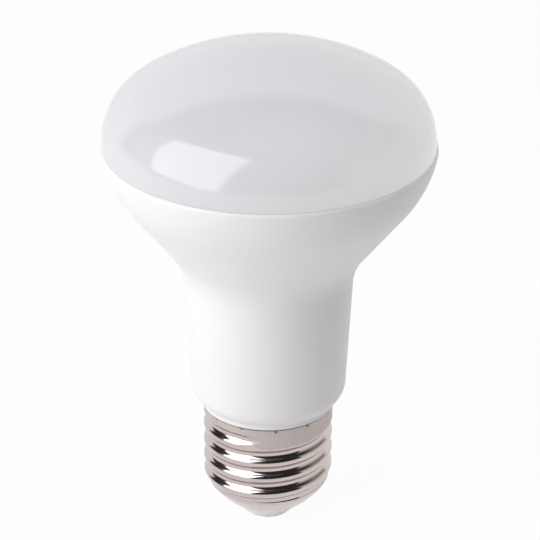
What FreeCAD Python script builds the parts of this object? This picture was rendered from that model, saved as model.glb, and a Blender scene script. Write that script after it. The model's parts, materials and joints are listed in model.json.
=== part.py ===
"""Reflector bulb with an Edison screw cap, 27 mm across its thread.

The lamp stands on the face of its centre contact, at z = 0, and its axis is the Z axis.
Lengths are in millimetres, angles in degrees, and radii are measured from the axis.
"""
import FreeCAD, Part
import math
import os
from types import SimpleNamespace

import Sketcher
from FreeCAD import Placement, Rotation, Vector

SIZES = (
    ("fit_gap", 0.1, "clearance between pieces that slide together"),
    ("contact_radius", 3.0, "button of the centre contact"),
    ("contact_drop", 0.5, "button's face below the insulator"),
    ("contact_edge", 0.25, "round on the button's edge"),
    ("shank_radius", 1.1, "pin of the contact"),
    ("shank_stand", 1.2, "pin's end above the insulator"),
    ("insulator_tip_radius", 4.5, "insulator's lower face"),
    ("insulator_edge", 0.5, "bevel on the insulator's lower edge"),
    ("insulator_reach", 5.4, "insulator's lower face below the shell's mouth"),
    ("flange_gap", 0.85, "insulator's flange inside the shell's bore"),
    ("flange_height", 3.0, "flange's top above the shell's mouth"),
    ("sheet_wall", 0.3, "sheet of the screw shell"),
    ("shell_length", 20.5, "shell from its mouth to its top edge"),
    ("mouth_inset", 3.35, "shell's lower edge inside the crests"),
    ("shoulder_round", 6.0, "radius of the shoulder's round"),
    ("shoulder_inset", 0.29, "that round's widest point inside the crests"),
    ("shoulder_height", 2.7, "end of that round above the mouth"),
    ("taper_height", 2.0, "short taper between shoulder and thread"),
    ("collar_length", 1.3, "collar's bore below the shell's top edge"),
    ("crest_radius", 13.15, "thread at its crests, and the collar above it"),
    ("thread_pitch", 3.629, "rise of the thread in one turn"),
    ("thread_depth", 1.096, "crest to groove, as two equal tangent arcs"),
    ("thread_start", 0.75, "start of the full groove above the mouth"),
    ("thread_end_depth", 3.06, "end of the full groove below the top edge"),
    ("thread_end_azimuth", 241.0, "where round the cap the full groove ends"),
    ("fade_turns", 0.065, "turn in which the groove runs out"),
    ("wave_start", 4.84, "start of the wave on the shell's inside, above the mouth"),
    ("mark_count", 11, "punch marks round the collar"),
    ("mark_azimuth", -80.9, "first punch mark"),
    ("mark_drop", 0.8, "punch marks below the shell's top edge"),
    ("mark_ball", 0.7, "radius of the punch's tip"),
    ("mark_depth", 0.16, "depth of a punch mark"),
    ("spigot_length", 4.0, "spigot below the housing's lower edge"),
    ("spigot_gap", 0.2, "spigot's step above the step in the collar's bore"),
    ("spigot_chamfer", 0.4, "lead on the spigot's end"),
    ("lip_overhang", 0.35, "housing's lower edge outside the collar"),
    ("lip_height", 1.05, "upright stretch of that edge"),
    ("neck_round", 4.43, "round between the edge and the neck"),
    ("neck_step", 2.21, "neck's lower end outside the housing's lower edge"),
    ("neck_draft", 2.86, "neck's widening, as an angle from the axis"),
    ("knee_round", 13.47, "hollow round between neck and cone"),
    ("cone_angle", 37.8, "cone's angle from the axis"),
    ("bell_round", 22.76, "round between cone and rim"),
    ("rim_radius", 32.85, "housing at its rim"),
    ("rim_lean", 10.09, "wall at the rim, as an angle from the axis"),
    ("rim_edge", 0.8, "round on the rim's outer edge"),
    ("housing_height", 56.65, "rim above the housing's lower edge"),
    ("chamber_depth", 4.0, "light chamber below the rim"),
    ("dome_inset", 0.4, "diffuser inside the rim's outer edge"),
    ("dome_land", 1.0, "upright stretch of the diffuser at the rim"),
    ("dome_edge_arc", 12.5, "round at the diffuser's shoulder"),
    ("dome_crown_arc", 50.5, "round over the diffuser's top"),
    ("diffuser_wall", 1.5, "wall of the diffuser"),
    ("skirt_step", 1.0, "skirt inside the diffuser's outer face"),
    ("skirt_gap", 0.3, "skirt's end above the chamber's floor"),
    ("skirt_wall", 1.2, "wall of the skirt"),
)

# A wave's cut stops this many degrees short of the next crest, so that two turns stay apart.
CREST_MARGIN = 6.0
# A cutting outline reaches this far past the surface that it cuts.
OVERCUT = 0.4

# Expressions that several pieces share.
SHELL_BASE = "Sizes.contact_drop + Sizes.insulator_reach"
HOUSING_BASE = SHELL_BASE + " + Sizes.shell_length"
MOUTH_RADIUS = "Sizes.crest_radius - Sizes.mouth_inset"
SHOULDER_CENTRE = "Sizes.crest_radius - Sizes.shoulder_inset - Sizes.shoulder_round"
SHOULDER_CENTRE_HEIGHT = ("sqrt(Sizes.shoulder_round ^ 2 - (Sizes.shoulder_inset"
                          " + Sizes.shoulder_round - Sizes.mouth_inset) ^ 2)")
GROOVE_HEIGHT = "Sizes.shell_length - Sizes.thread_end_depth"
THREAD_ARC = "(Sizes.thread_pitch ^ 2 / 4 + Sizes.thread_depth ^ 2) / (4 * Sizes.thread_depth)"
BORE_RADIUS = "Sizes.crest_radius - Sizes.thread_depth - Sizes.sheet_wall"
SHANK_BORE = "Sizes.shank_radius + Sizes.fit_gap"
DOME_RADIUS = "Sizes.rim_radius - Sizes.dome_inset"
SKIRT_RADIUS = DOME_RADIUS + " - Sizes.skirt_step"
STEP_DEPTH = "Sizes.thread_end_depth - Sizes.thread_pitch / 4"
LAND_RADIUS = "Sizes.crest_radius - Sizes.sheet_wall - Sizes.fit_gap"
LIP_RADIUS = "Sizes.crest_radius + Sizes.lip_overhang"


def fill_sheet(doc):
    """Put the sizes on a sheet and return them by name."""
    sheet = doc.addObject("Spreadsheet::Sheet", "Sizes")
    for row, (alias, value, meaning) in enumerate(SIZES, start=1):
        sheet.set("A%d" % row, meaning)
        sheet.set("B%d" % row, str(value))
        sheet.setAlias("B%d" % row, alias)
    doc.recompute()
    return SimpleNamespace(**{alias: float(sheet.get(alias)) for alias, _, _ in SIZES})


def origin_item(body, role):
    return next(item for item in body.Origin.OriginFeatures if item.Role == role)


def middle_of_arc(start, end, centre):
    """Point halfway along the shorter arc from start to end."""
    x = (start[0] + end[0]) / 2 - centre[0]
    y = (start[1] + end[1]) / 2 - centre[1]
    scale = math.dist(start, centre) / math.hypot(x, y)
    return (centre[0] + scale * x, centre[1] + scale * y)


class Outline:
    """Closed outline in a sketch on a plane through the axis: x is the radius, y the height."""

    def __init__(self, body, name):
        self.sketch = body.newObject("Sketcher::SketchObject", name)
        self.sketch.AttachmentSupport = [(origin_item(body, "XZ_Plane"), "")]
        self.sketch.MapMode = "FlatFace"
        self.pen = None
        self.first = None
        self.items = {}

    def turn(self, azimuth, expression):
        """Swing the sketch's plane round the axis."""
        turned = Rotation(Vector(0, 1, 0), azimuth)
        self.sketch.AttachmentOffset = Placement(Vector(), turned)
        self.sketch.setExpression("AttachmentOffset.Rotation.Angle", expression)

    def start(self, point):
        self.first = point
        self.pen = point

    def line(self, name, end):
        geometry = Part.LineSegment(Vector(*self.pen, 0), Vector(*end, 0))
        self.items[name] = (self.sketch.addGeometry(geometry, False), 1, 2)
        self.pen = end

    def arc(self, name, end, centre):
        middle = middle_of_arc(self.pen, end, centre)
        geometry = Part.Arc(Vector(*self.pen, 0), Vector(*middle, 0), Vector(*end, 0))
        index = self.sketch.addGeometry(geometry, False)
        first = self.sketch.getPoint(index, 1)
        forward = math.dist((first.x, first.y), self.pen) < 1e-6
        self.items[name] = (index, 1, 2) if forward else (index, 2, 1)
        self.pen = end

    def close(self, name):
        self.line(name, self.first)

    def join(self, *smooth):
        """Join each item to the next one, as tangents at the pairs that are named."""
        names = list(self.items)
        for name, after in zip(names, names[1:] + names[:1]):
            kind = "Tangent" if (name, after) in smooth else "Coincident"
            index, _, end = self.items[name]
            next_index, begin, _ = self.items[after]
            self.sketch.addConstraint(Sketcher.Constraint(kind, index, end, next_index, begin))

    def level(self, *names):
        for name in names:
            self.sketch.addConstraint(Sketcher.Constraint("Horizontal", self.items[name][0]))

    def upright(self, *names):
        for name in names:
            self.sketch.addConstraint(Sketcher.Constraint("Vertical", self.items[name][0]))

    def on_axis(self, *names):
        """Hold the start of each item on the lamp's axis."""
        for name in names:
            index, begin, _ = self.items[name]
            self.sketch.addConstraint(Sketcher.Constraint("PointOnObject", index, begin, -2))

    def on_base(self, *names):
        """Hold the start of each item at the piece's own zero height."""
        for name in names:
            index, begin, _ = self.items[name]
            self.sketch.addConstraint(Sketcher.Constraint("PointOnObject", index, begin, -1))

    def bind(self, label, constraint, expression):
        index = self.sketch.addConstraint(constraint)
        self.sketch.renameConstraint(index, label)
        self.sketch.setExpression("Constraints." + label, expression)

    def radius_at(self, name, expression):
        """Distance of the item's start from the axis."""
        index, begin, _ = self.items[name]
        value = self.sketch.getPoint(index, begin).x
        constraint = Sketcher.Constraint("DistanceX", -1, 1, index, begin, value)
        self.bind(name + "_radius", constraint, expression)

    def height_at(self, name, expression):
        """Height of the item's start."""
        index, begin, _ = self.items[name]
        value = self.sketch.getPoint(index, begin).y
        constraint = Sketcher.Constraint("DistanceY", -1, 1, index, begin, value)
        self.bind(name + "_height", constraint, expression)

    def round(self, name, expression):
        index = self.items[name][0]
        value = self.sketch.Geometry[index].Radius
        self.bind(name + "_round", Sketcher.Constraint("Radius", index, value), expression)

    def slope(self, name, expression):
        """Angle of a rising line from the level."""
        index = self.items[name][0]
        line = self.sketch.Geometry[index]
        run = line.EndPoint - line.StartPoint
        constraint = Sketcher.Constraint("Angle", index, math.atan2(run.y, run.x))
        self.bind(name + "_slope", constraint, expression)

    def centre_on_axis(self, name):
        index = self.items[name][0]
        self.sketch.addConstraint(Sketcher.Constraint("PointOnObject", index, 3, -2))

    def same_centre(self, name, other):
        index = self.items[name][0]
        constraint = Sketcher.Constraint("Coincident", index, 3, self.items[other][0], 3)
        self.sketch.addConstraint(constraint)

    def centre_at(self, name, radius, height):
        index = self.items[name][0]
        point = self.sketch.getPoint(index, 3)
        across = Sketcher.Constraint("DistanceX", -1, 1, index, 3, point.x)
        upward = Sketcher.Constraint("DistanceY", -1, 1, index, 3, point.y)
        self.bind(name + "_centre_radius", across, radius)
        self.bind(name + "_centre_height", upward, height)

    def centre_height(self, name, expression):
        index = self.items[name][0]
        value = self.sketch.getPoint(index, 3).y
        constraint = Sketcher.Constraint("DistanceY", -1, 1, index, 3, value)
        self.bind(name + "_centre_height", constraint, expression)


def new_body(doc, label, height):
    body = doc.addObject("PartDesign::Body", label)
    body.Label = label
    body.setExpression(".Placement.Base.z", height)
    return body


def revolve(body, name, outline):
    feature = body.newObject("PartDesign::Revolution", name)
    feature.Profile = outline.sketch
    feature.ReferenceAxis = (outline.sketch, ["V_Axis"])
    feature.Angle = 360


def helical_cut(body, name, outline, turns, angle, downward=False):
    feature = body.newObject("PartDesign::SubtractiveHelix", name)
    feature.Profile = outline.sketch
    feature.ReferenceAxis = (outline.sketch, ["V_Axis"])
    feature.Mode = "pitch-turns-angle"
    feature.setExpression("Pitch", "Sizes.thread_pitch")
    feature.setExpression("Turns", turns)
    feature.setExpression("Angle", angle)
    feature.LeftHanded = False
    feature.Reversed = downward


def make_contact(doc, size):
    """Button under the insulator, with the pin that passes up through it."""
    body = new_body(doc, "centre_contact", "0")
    edge = size.contact_edge
    top = size.contact_drop + size.insulator_reach + size.flange_height + size.shank_stand
    outline = Outline(body, "ContactOutline")
    outline.start((0, 0))
    outline.line("face", (size.contact_radius - edge, 0))
    outline.arc("edge", (size.contact_radius, edge), (size.contact_radius - edge, edge))
    outline.line("side", (size.contact_radius, size.contact_drop))
    outline.line("back", (size.shank_radius, size.contact_drop))
    outline.line("pin", (size.shank_radius, top))
    outline.line("tip", (0, top))
    outline.close("axis")
    outline.join(("face", "edge"), ("edge", "side"))
    outline.level("back", "tip")
    outline.upright("pin")
    outline.on_axis("face", "axis")
    outline.on_base("face", "edge")
    outline.round("edge", "Sizes.contact_edge")
    outline.radius_at("back", "Sizes.contact_radius")
    outline.height_at("back", "Sizes.contact_drop")
    outline.radius_at("pin", "Sizes.shank_radius")
    outline.height_at("tip", SHELL_BASE + " + Sizes.flange_height + Sizes.shank_stand")
    revolve(body, "Contact", outline)
    return body


def shoulder_centre(size, base):
    """Centre of the shell's shoulder round, for a mouth at the height base."""
    across = size.shoulder_inset + size.shoulder_round
    rise = math.sqrt(size.shoulder_round ** 2 - (across - size.mouth_inset) ** 2)
    return (size.crest_radius - across, base + rise)


def height_on_round(centre, radius, x):
    """Height at which the lower half of a round passes the radius x."""
    return centre[1] - math.sqrt(radius ** 2 - (x - centre[0]) ** 2)


def make_insulator(doc, size):
    """Cone below the shell's mouth, with a flange that seats in the shell's shoulder."""
    body = new_body(doc, "insulator", "Sizes.contact_drop")
    bore = size.shank_radius + size.fit_gap
    tip = size.insulator_tip_radius
    edge = size.insulator_edge
    neck = size.crest_radius - size.mouth_inset - size.sheet_wall - size.fit_gap
    flange = size.crest_radius - size.thread_depth - size.sheet_wall - size.flange_gap
    centre = shoulder_centre(size, size.insulator_reach)
    seat = size.shoulder_round - size.sheet_wall - size.fit_gap
    top = size.insulator_reach + size.flange_height
    outline = Outline(body, "InsulatorOutline")
    outline.start((bore, 0))
    outline.line("face", (tip - edge, 0))
    outline.line("bevel", (tip, edge))
    outline.line("cone", (neck, size.insulator_reach))
    outline.line("land", (neck, height_on_round(centre, seat, neck)))
    outline.arc("seat", (flange, height_on_round(centre, seat, flange)), centre)
    outline.line("rim", (flange, top))
    outline.line("top", (bore, top))
    outline.close("bore")
    outline.join()
    outline.level("face", "top")
    outline.upright("land", "rim", "bore")
    outline.on_base("face")
    outline.radius_at("face", SHANK_BORE)
    outline.radius_at("bevel", "Sizes.insulator_tip_radius - Sizes.insulator_edge")
    outline.radius_at("cone", "Sizes.insulator_tip_radius")
    outline.height_at("cone", "Sizes.insulator_edge")
    outline.radius_at("land", MOUTH_RADIUS + " - Sizes.sheet_wall - Sizes.fit_gap")
    outline.height_at("land", "Sizes.insulator_reach")
    outline.centre_at("seat", SHOULDER_CENTRE,
                      "Sizes.insulator_reach + " + SHOULDER_CENTRE_HEIGHT)
    outline.round("seat", "Sizes.shoulder_round - Sizes.sheet_wall - Sizes.fit_gap")
    outline.radius_at("rim", BORE_RADIUS + " - Sizes.flange_gap")
    outline.height_at("top", "Sizes.insulator_reach + Sizes.flange_height")
    revolve(body, "Insulator", outline)
    return body


def add_blank(body, size):
    """Drawn sheet before its thread is rolled: plain barrel and rounded shoulder."""
    wall = size.sheet_wall
    top = size.shell_length
    collar_end = top - size.collar_length
    barrel_end = size.shoulder_height + size.taper_height
    bore = size.crest_radius - size.thread_depth - wall
    bore_end = top - size.thread_end_depth + size.thread_pitch / 4
    centre = shoulder_centre(size, 0)
    outer = size.shoulder_round
    inner = outer - wall
    widest = centre[0] + math.sqrt(outer ** 2 - (centre[1] - size.shoulder_height) ** 2)
    mouth = size.crest_radius - size.mouth_inset
    outline = Outline(body, "BlankOutline")
    outline.start((size.crest_radius, top))
    outline.line("barrel", (size.crest_radius, barrel_end))
    outline.line("taper", (widest, size.shoulder_height))
    outline.arc("shoulder", (mouth, 0), centre)
    outline.line("mouth", (mouth - wall, 0))
    outline.line("lip", (mouth - wall, height_on_round(centre, inner, mouth - wall)))
    outline.arc("inner_shoulder", (bore, height_on_round(centre, inner, bore)), centre)
    outline.line("bore", (bore, bore_end))
    outline.line("inner_step", (size.crest_radius - wall, collar_end))
    outline.line("inner_collar", (size.crest_radius - wall, top))
    outline.close("edge")
    outline.join()
    outline.upright("barrel", "lip", "bore", "inner_collar")
    outline.level("edge")
    outline.on_base("mouth", "lip")
    outline.radius_at("barrel", "Sizes.crest_radius")
    outline.height_at("barrel", "Sizes.shell_length")
    outline.height_at("taper", "Sizes.shoulder_height + Sizes.taper_height")
    outline.height_at("shoulder", "Sizes.shoulder_height")
    outline.centre_at("shoulder", SHOULDER_CENTRE, SHOULDER_CENTRE_HEIGHT)
    outline.round("shoulder", "Sizes.shoulder_round")
    outline.radius_at("lip", MOUTH_RADIUS + " - Sizes.sheet_wall")
    outline.same_centre("inner_shoulder", "shoulder")
    outline.round("inner_shoulder", "Sizes.shoulder_round - Sizes.sheet_wall")
    outline.radius_at("bore", BORE_RADIUS)
    outline.height_at("inner_step", "Sizes.shell_length - (" + STEP_DEPTH + ")")
    outline.radius_at("inner_collar", "Sizes.crest_radius - Sizes.sheet_wall")
    outline.height_at("inner_collar", "Sizes.shell_length - Sizes.collar_length")
    revolve(body, "Blank", outline)


def add_groove(body, size, name):
    """Outline that cuts the thread's groove, at the end of its full depth."""
    height = size.shell_length - size.thread_end_depth
    quarter = size.thread_pitch / 4
    arc = (size.thread_pitch ** 2 / 4 + size.thread_depth ** 2) / (4 * size.thread_depth)
    crest = size.crest_radius - arc
    floor = size.crest_radius - size.thread_depth + arc
    side = (crest + floor) / 2
    margin = math.radians(CREST_MARGIN)
    end_radius = crest + arc * math.cos(margin)
    end_rise = 2 * quarter - arc * math.sin(margin)
    back = size.crest_radius + OVERCUT
    low = height - end_rise
    high = height + end_rise
    outline = Outline(body, name)
    outline.turn(size.thread_end_azimuth, "Sizes.thread_end_azimuth")
    outline.start((back, low))
    outline.line("lower_edge", (end_radius, low))
    outline.arc("lower_crest", (side, height - quarter), (crest, height - 2 * quarter))
    outline.arc("floor", (side, height + quarter), (floor, height))
    outline.arc("upper_crest", (end_radius, high), (crest, height + 2 * quarter))
    outline.line("upper_edge", (back, high))
    outline.close("back")
    outline.join(("lower_crest", "floor"), ("floor", "upper_crest"))
    outline.level("lower_edge", "upper_edge")
    outline.upright("back")
    outline.centre_at("floor", "Sizes.crest_radius - Sizes.thread_depth + " + THREAD_ARC,
                      GROOVE_HEIGHT)
    for item in ("lower_crest", "floor", "upper_crest"):
        outline.round(item, THREAD_ARC)
    outline.centre_height("lower_crest", GROOVE_HEIGHT + " - Sizes.thread_pitch / 2")
    outline.centre_height("upper_crest", GROOVE_HEIGHT + " + Sizes.thread_pitch / 2")
    reach = "Sizes.thread_pitch / 2 - sin(%g) * %s" % (CREST_MARGIN, THREAD_ARC)
    outline.height_at("lower_edge", GROOVE_HEIGHT + " - (" + reach + ")")
    outline.height_at("upper_edge", GROOVE_HEIGHT + " + " + reach)
    outline.radius_at("lower_edge", "Sizes.crest_radius + %g" % OVERCUT)
    return outline


def roll_thread(body, size):
    """Cut the groove's run-out above the thread, and the full groove down from there."""
    fade = add_groove(body, size, "FadeOutline")
    climb = "atan(Sizes.thread_depth / (Sizes.fade_turns * Sizes.thread_pitch))"
    helical_cut(body, "Fade", fade, "Sizes.fade_turns", climb)
    groove = add_groove(body, size, "GrooveOutline")
    turns = "(" + GROOVE_HEIGHT + " - Sizes.thread_start) / Sizes.thread_pitch"
    helical_cut(body, "Groove", groove, turns, "0", downward=True)


def hollow_thread(body, size):
    """Cut the wave on the shell's inside, one sheet within the outer one."""
    quarter = size.thread_pitch / 4
    half = 2 * quarter
    wall = size.sheet_wall
    arc = (half ** 2 + size.thread_depth ** 2) / (4 * size.thread_depth)
    crest = size.crest_radius - arc
    floor = size.crest_radius - size.thread_depth + arc
    share = (arc - wall) / (2 * arc)
    side = crest + share * (floor - crest)
    side_rise = share * half
    margin = math.radians(CREST_MARGIN)
    end_radius = floor - (arc + wall) * math.cos(margin)
    end_rise = half - (arc + wall) * math.sin(margin)
    back = size.crest_radius - size.thread_depth - wall - OVERCUT
    height = size.shell_length - size.thread_end_depth - half
    height_text = GROOVE_HEIGHT + " - Sizes.thread_pitch / 2"
    outline = Outline(body, "WaveOutline")
    outline.turn(size.thread_end_azimuth, "Sizes.thread_end_azimuth")
    outline.start((back, height - end_rise))
    outline.line("lower_edge", (end_radius, height - end_rise))
    outline.arc("lower_floor", (side, height - side_rise), (floor, height - half))
    outline.arc("crest", (side, height + side_rise), (crest, height))
    outline.arc("upper_floor", (end_radius, height + end_rise), (floor, height + half))
    outline.line("upper_edge", (back, height + end_rise))
    outline.close("back")
    outline.join(("lower_floor", "crest"), ("crest", "upper_floor"))
    outline.level("lower_edge", "upper_edge")
    outline.upright("back")
    outline.centre_at("crest", "Sizes.crest_radius - " + THREAD_ARC, height_text)
    outline.round("crest", THREAD_ARC + " - Sizes.sheet_wall")
    outline.round("lower_floor", THREAD_ARC + " + Sizes.sheet_wall")
    outline.round("upper_floor", THREAD_ARC + " + Sizes.sheet_wall")
    outline.centre_height("lower_floor", height_text + " - Sizes.thread_pitch / 2")
    outline.centre_height("upper_floor", height_text + " + Sizes.thread_pitch / 2")
    reach = "Sizes.thread_pitch / 2 - sin(%g) * (%s + Sizes.sheet_wall)" % (CREST_MARGIN,
                                                                            THREAD_ARC)
    outline.height_at("lower_edge", height_text + " - (" + reach + ")")
    outline.height_at("upper_edge", height_text + " + " + reach)
    outline.radius_at("lower_edge", BORE_RADIUS + " - %g" % OVERCUT)
    turns = "(%s - Sizes.wave_start) / Sizes.thread_pitch" % height_text
    helical_cut(body, "Wave", outline, turns, "0", downward=True)


def punch_marks(body):
    """Dents round the collar, where the sheet is punched into the housing's spigot."""
    mark = body.newObject("PartDesign::SubtractiveSphere", "Mark")
    reach = "(Sizes.crest_radius + Sizes.mark_ball - Sizes.mark_depth)"
    mark.setExpression("Radius", "Sizes.mark_ball")
    mark.setExpression(".Placement.Base.x", reach + " * cos(Sizes.mark_azimuth)")
    mark.setExpression(".Placement.Base.y", reach + " * sin(Sizes.mark_azimuth)")
    mark.setExpression(".Placement.Base.z", "Sizes.shell_length - Sizes.mark_drop")
    marks = body.newObject("PartDesign::PolarPattern", "Marks")
    marks.Originals = [mark]
    marks.Axis = (origin_item(body, "Z_Axis"), [""])
    marks.Angle = 360
    marks.setExpression("Occurrences", "Sizes.mark_count")
    body.Tip = marks


def make_shell(doc, size):
    """Thin plated sheet with a rolled right-hand thread."""
    body = new_body(doc, "screw_shell", SHELL_BASE)
    add_blank(body, size)
    roll_thread(body, size)
    hollow_thread(body, size)
    punch_marks(body)
    return body


def crossing(first, first_angle, second, second_angle):
    """Point where two lines cross, each through a point and at an angle from upright."""
    rise = (second[0] - first[0] + (first[1] - second[1]) * math.tan(second_angle)) \
        / (math.tan(first_angle) - math.tan(second_angle))
    return (first[0] + rise * math.tan(first_angle), first[1] + rise)


def along(point, angle, length):
    """Point at a length from another one, at an angle from upright."""
    return (point[0] + length * math.sin(angle), point[1] + length * math.cos(angle))


def make_housing(doc, size):
    """Moulded body: spigot in the cap, neck, hollow knee, cone, bell and rim."""
    body = new_body(doc, "housing", HOUSING_BASE)
    draft = math.radians(size.neck_draft)
    cone = math.radians(size.cone_angle)
    lean = math.radians(size.rim_lean)
    land = size.crest_radius - size.sheet_wall - size.fit_gap
    land_end = size.spigot_gap - size.collar_length
    nose = size.crest_radius - size.thread_depth - size.sheet_wall - size.fit_gap
    nose_top = size.spigot_gap - size.thread_end_depth + size.thread_pitch / 4
    spigot_end = -size.spigot_length
    chamfer = size.spigot_chamfer
    lip = size.crest_radius + size.lip_overhang
    neck_radius = lip + size.neck_step
    rim_top = size.housing_height
    rebate = size.rim_radius - size.dome_inset - size.skirt_step + size.fit_gap

    round_x = neck_radius - size.neck_round * math.cos(draft)
    round_y = size.lip_height + math.sqrt(size.neck_round ** 2 - (lip - round_x) ** 2)
    neck_low = (neck_radius, round_y - size.neck_round * math.sin(draft))
    rim = (size.rim_radius, rim_top - size.rim_edge)
    bell = (rim[0] - size.bell_round * math.cos(lean), rim[1] + size.bell_round * math.sin(lean))
    cone_high = (bell[0] + size.bell_round * math.cos(cone),
                 bell[1] - size.bell_round * math.sin(cone))
    corner = crossing(neck_low, draft, cone_high, cone)
    cut = size.knee_round * math.tan((cone - draft) / 2)
    neck_high = along(corner, draft, -cut)
    cone_low = along(corner, cone, cut)
    knee = (neck_high[0] + size.knee_round * math.cos(draft),
            neck_high[1] - size.knee_round * math.sin(draft))

    outline = Outline(body, "HousingOutline")
    outline.start((0, spigot_end))
    outline.line("spigot_end", (nose - chamfer, spigot_end))
    outline.line("spigot_lead", (nose, spigot_end + chamfer))
    outline.line("nose", (nose, nose_top))
    outline.line("spigot_step", (land, land_end))
    outline.line("land", (land, 0))
    outline.line("seat", (lip, 0))
    outline.line("lip", (lip, size.lip_height))
    outline.arc("neck_round", neck_low, (round_x, round_y))
    outline.line("neck", neck_high)
    outline.arc("knee", cone_low, knee)
    outline.line("cone", cone_high)
    outline.arc("bell", rim, bell)
    outline.arc("rim_edge", (size.rim_radius - size.rim_edge, rim_top),
                (size.rim_radius - size.rim_edge, rim_top - size.rim_edge))
    outline.line("rim", (rebate, rim_top))
    outline.line("rebate", (rebate, rim_top - size.chamber_depth))
    outline.line("floor", (0, rim_top - size.chamber_depth))
    outline.close("axis")
    outline.join(("neck_round", "neck"), ("neck", "knee"), ("knee", "cone"), ("cone", "bell"))
    outline.level("spigot_end", "rim", "floor")
    outline.upright("nose", "land", "lip", "rebate")
    outline.on_axis("spigot_end", "axis")
    outline.on_base("seat", "lip")
    outline.height_at("spigot_end", "-Sizes.spigot_length")
    outline.radius_at("spigot_lead", BORE_RADIUS + " - Sizes.fit_gap - Sizes.spigot_chamfer")
    outline.radius_at("nose", BORE_RADIUS + " - Sizes.fit_gap")
    outline.height_at("nose", "Sizes.spigot_chamfer - Sizes.spigot_length")
    outline.height_at("spigot_step", "Sizes.spigot_gap - (" + STEP_DEPTH + ")")
    outline.radius_at("land", LAND_RADIUS)
    outline.height_at("land", "Sizes.spigot_gap - Sizes.collar_length")
    outline.radius_at("lip", LIP_RADIUS)
    outline.height_at("neck_round", "Sizes.lip_height")
    outline.round("neck_round", "Sizes.neck_round")
    outline.radius_at("neck", LIP_RADIUS + " + Sizes.neck_step")
    outline.slope("neck", "90 - Sizes.neck_draft")
    outline.round("knee", "Sizes.knee_round")
    outline.slope("cone", "90 - Sizes.cone_angle")
    outline.round("bell", "Sizes.bell_round")
    outline.centre_height("bell", "Sizes.housing_height - Sizes.rim_edge"
                                  " + Sizes.bell_round * sin(Sizes.rim_lean)")
    outline.radius_at("rim_edge", "Sizes.rim_radius")
    outline.height_at("rim_edge", "Sizes.housing_height - Sizes.rim_edge")
    outline.centre_at("rim_edge", "Sizes.rim_radius - Sizes.rim_edge",
                      "Sizes.housing_height - Sizes.rim_edge")
    outline.radius_at("rim", "Sizes.rim_radius - Sizes.rim_edge")
    outline.radius_at("rebate", SKIRT_RADIUS + " + Sizes.fit_gap")
    outline.height_at("floor", "Sizes.housing_height - Sizes.chamber_depth")
    revolve(body, "Housing", outline)
    return body


def make_diffuser(doc, size):
    """Opal dome that stands on the rim, with a skirt inside it."""
    body = new_body(doc, "diffuser", HOUSING_BASE + " + Sizes.housing_height")
    wall = size.diffuser_wall
    outer = size.rim_radius - size.dome_inset
    skirt = outer - size.skirt_step
    skirt_end = size.skirt_gap - size.chamber_depth
    edge_arc = size.dome_edge_arc
    crown_arc = size.dome_crown_arc
    edge = (outer - edge_arc, size.dome_land)
    crown = (0, edge[1] - math.sqrt((crown_arc - edge_arc) ** 2 - edge[0] ** 2))
    lean = math.atan2(edge[1] - crown[1], edge[0])
    toward = (math.cos(lean), math.sin(lean))
    inner_arc = edge_arc - wall
    outline = Outline(body, "DiffuserOutline")
    outline.start((outer, 0))
    outline.line("land", (outer, size.dome_land))
    outline.arc("edge", (edge[0] + edge_arc * toward[0], edge[1] + edge_arc * toward[1]), edge)
    outline.arc("crown", (0, crown[1] + crown_arc), crown)
    outline.line("axis", (0, crown[1] + crown_arc - wall))
    outline.arc("inner_crown",
                (edge[0] + inner_arc * toward[0], edge[1] + inner_arc * toward[1]), crown)
    outline.arc("inner_edge", (outer - wall, size.dome_land), edge)
    outline.line("chamfer", (skirt - size.skirt_wall, 0))
    outline.line("inner_skirt", (skirt - size.skirt_wall, skirt_end))
    outline.line("skirt_end", (skirt, skirt_end))
    outline.line("skirt", (skirt, 0))
    outline.close("ledge")
    outline.join(("land", "edge"), ("edge", "crown"), ("inner_crown", "inner_edge"))
    outline.upright("land", "inner_skirt", "skirt")
    outline.level("skirt_end")
    outline.on_base("land", "inner_skirt", "ledge")
    outline.radius_at("land", DOME_RADIUS)
    outline.height_at("edge", "Sizes.dome_land")
    outline.round("edge", "Sizes.dome_edge_arc")
    outline.round("crown", "Sizes.dome_crown_arc")
    outline.centre_on_axis("crown")
    outline.on_axis("axis", "inner_crown")
    outline.same_centre("inner_crown", "crown")
    outline.round("inner_crown", "Sizes.dome_crown_arc - Sizes.diffuser_wall")
    outline.same_centre("inner_edge", "edge")
    outline.height_at("chamfer", "Sizes.dome_land")
    outline.radius_at("inner_skirt", SKIRT_RADIUS + " - Sizes.skirt_wall")
    outline.height_at("skirt_end", "Sizes.skirt_gap - Sizes.chamber_depth")
    outline.radius_at("skirt", SKIRT_RADIUS)
    revolve(body, "Diffuser", outline)
    return body


def check(doc, bodies):
    for item in doc.Objects:
        if "Invalid" in item.State or "Error" in item.State:
            raise RuntimeError("%s did not build" % item.Label)
    for body in bodies:
        if body.Shape.isNull() or not body.Shape.isValid() or len(body.Shape.Solids) != 1:
            raise RuntimeError("%s is not one valid solid" % body.Label)


def main():
    doc = FreeCAD.newDocument("ReflectorBulb")
    size = fill_sheet(doc)
    bodies = [make(doc, size) for make in (make_contact, make_insulator, make_shell,
                                           make_housing, make_diffuser)]
    doc.recompute()
    check(doc, bodies)
    os.makedirs("parts", exist_ok=True)
    for body in bodies:
        body.Shape.exportStep("parts/%s.step" % body.Label)


main()
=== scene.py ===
"""Reflector bulb with a screw cap, standing on its centre contact, dressed for its photograph.

Each piece is turned on the lamp's axis from a profile in millimetres, measured up from the face
of the centre contact, and stands for the CAD node of the same name.
"""
import json
import math

import bpy
from bpy.props import FloatProperty, FloatVectorProperty, IntProperty, PointerProperty
from mathutils import Matrix, Vector

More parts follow.
